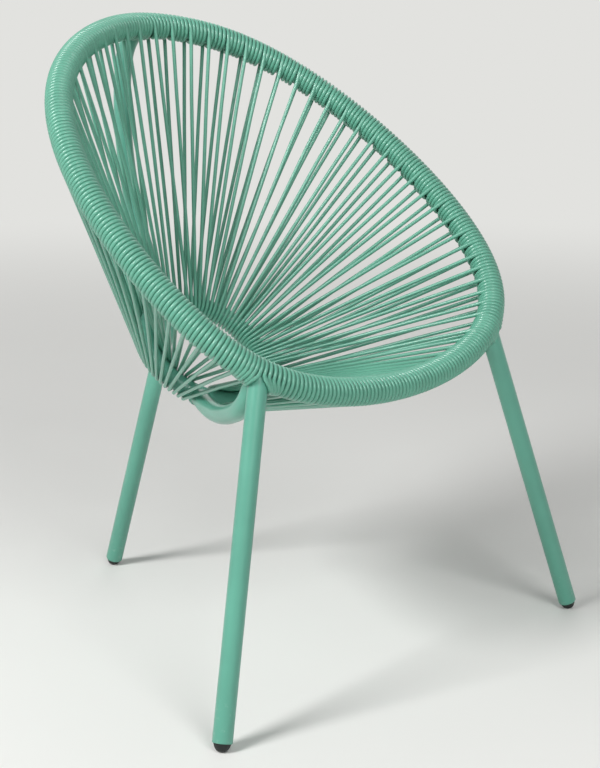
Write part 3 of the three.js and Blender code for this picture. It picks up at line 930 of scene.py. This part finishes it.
normals = carriedNormals(path, (0, 0, 1))
spans = [(0, cuts[0]), (cuts[0], cuts[1]), (cuts[1], len(path) - 1)]
for name, prefix, sectors, (first, last) in (
        ("cordLeft", "cord_left_", 9, spans[0]),
        ("cordFront", "cord_front_", 5, spans[1]),
        ("cordRight", "cord_right_", 9, spans[2])):
    stretch = slice(first, last + 1)
    length = np.linalg.norm(np.diff(path[stretch], axis=0), axis=1).sum()
    rows = max(1, round(math.sqrt(length / (stringing["mapSlack"] * fullTurn * cordRadius))))
    skin = tubeSkin(path[stretch], normals[stretch], thick[stretch], stringing["sides"], rowCount=rows)
    nodes = [prefix + str(n + 1) for n in range(sectors)]
    addPiece(name, skin[0], skin[1], mintCord, nodes, skin[2])
    print(name, len(skin[1]), "faces")


# Floor and light
room = {
    "floor": "ecece9",
    "backdrop": "e2e2df",
    "floorShades": (0.99, 1.01),
    "floorClouds": 3,
    "floorSize": 400,
    "floorLines": (2, 8),  # where the floor's faces meet, from its middle
    "fade": (1.2, 4.5),  # distance at which the floor turns into plain backdrop
    "air": 0.18,
    "lampAim": (0, 0, 0.4),
    "lamps": [
        # place, size, watts
        ((-3.7, 0.4, 3.4), 1.6, 190),
        ((-1.6, -3.9, 3.2), 2.2, 100),
        ((3.0, 2.4, 3.2), 2.6, 24),
    ],
}


def seen(tree):
    # 1 for rays that come from the eye, straight, mirrored or through glass
    rays = tree.nodes.new("ShaderNodeLightPath")
    total = rays.outputs["Is Camera Ray"]
    for name in ("Is Glossy Ray", "Is Transmission Ray"):
        most = tree.nodes.new("ShaderNodeMath")
        most.operation = "MAXIMUM"
        tree.links.new(total, most.inputs[0])
        tree.links.new(rays.outputs[name], most.inputs[1])
        total = most.outputs[0]
    return total


floorFinish = Finish("paleFloor", **{"Roughness": 0.85})
floorFinish.drive("Base Color", floorFinish.mix(
    floorFinish.noise(room["floorClouds"]), *(tint(room["floor"], shade) for shade in room["floorShades"])))
distance = floorFinish.node("ShaderNodeVectorMath", {"operation": "LENGTH"},
                            {0: floorFinish.spot}, out="Value")
faded = floorFinish.between(distance, *room["fade"]) * Wire(floorFinish, seen(floorFinish.tree))
glow = floorFinish.node("ShaderNodeEmission", None, {"Color": tint(room["backdrop"])})
blend = floorFinish.node("ShaderNodeMixShader", None, {
    0: faded, 1: Wire(floorFinish, floorFinish.shader.outputs[0]), 2: glow})
floorFinish.tree.links.new(
    blend.socket, floorFinish.tree.nodes["Material Output"].inputs["Surface"])
half = room["floorSize"] / 2
floorMesh = bpy.data.meshes.new("paleFloor")
inner, outer = room["floorLines"]
grid = [-half, -outer, -inner, inner, outer, half]
rowLength = len(grid)
floorMesh.from_pydata(
    [(x, y, 0) for y in grid for x in grid], [],
    [(r * rowLength + c, r * rowLength + c + 1, (r + 1) * rowLength + c + 1, (r + 1) * rowLength + c)
     for r in range(rowLength - 1) for c in range(rowLength - 1)])
floorMesh.materials.append(floorFinish.material)
floor = bpy.data.objects.new("paleFloor", floorMesh)
bpy.context.scene.collection.objects.link(floor)

for number, (place, size, watts) in enumerate(room["lamps"]):
    lamp = bpy.data.lights.new("softbox" + str(number + 1), "AREA")
    lamp.shape = "DISK"
    lamp.size = size
    lamp.energy = watts
    box = bpy.data.objects.new(lamp.name, lamp)
    box.location = place
    aim = np.array(room["lampAim"]) - np.array(place)
    box.rotation_euler = (math.atan2(math.hypot(aim[0], aim[1]), -aim[2]), 0,
                          math.atan2(aim[1], aim[0]) - math.pi / 2)
    bpy.context.scene.collection.objects.link(box)

air = bpy.data.worlds.new("studioAir")
air.use_nodes = True
tree = air.node_tree
light = tree.nodes["Background"]
light.inputs["Color"].default_value = (1, 1, 1, 1)
light.inputs["Strength"].default_value = room["air"]
view = tree.nodes.new("ShaderNodeBackground")
view.inputs["Color"].default_value = tint(room["backdrop"])
either = tree.nodes.new("ShaderNodeMixShader")
tree.links.new(seen(tree), either.inputs[0])
tree.links.new(light.outputs[0], either.inputs[1])
tree.links.new(view.outputs[0], either.inputs[2])
tree.links.new(either.outputs[0], tree.nodes["World Output"].inputs["Surface"])
bpy.context.scene.world = air
bpy.context.scene.view_settings.view_transform = "Standard"
print("room lit")
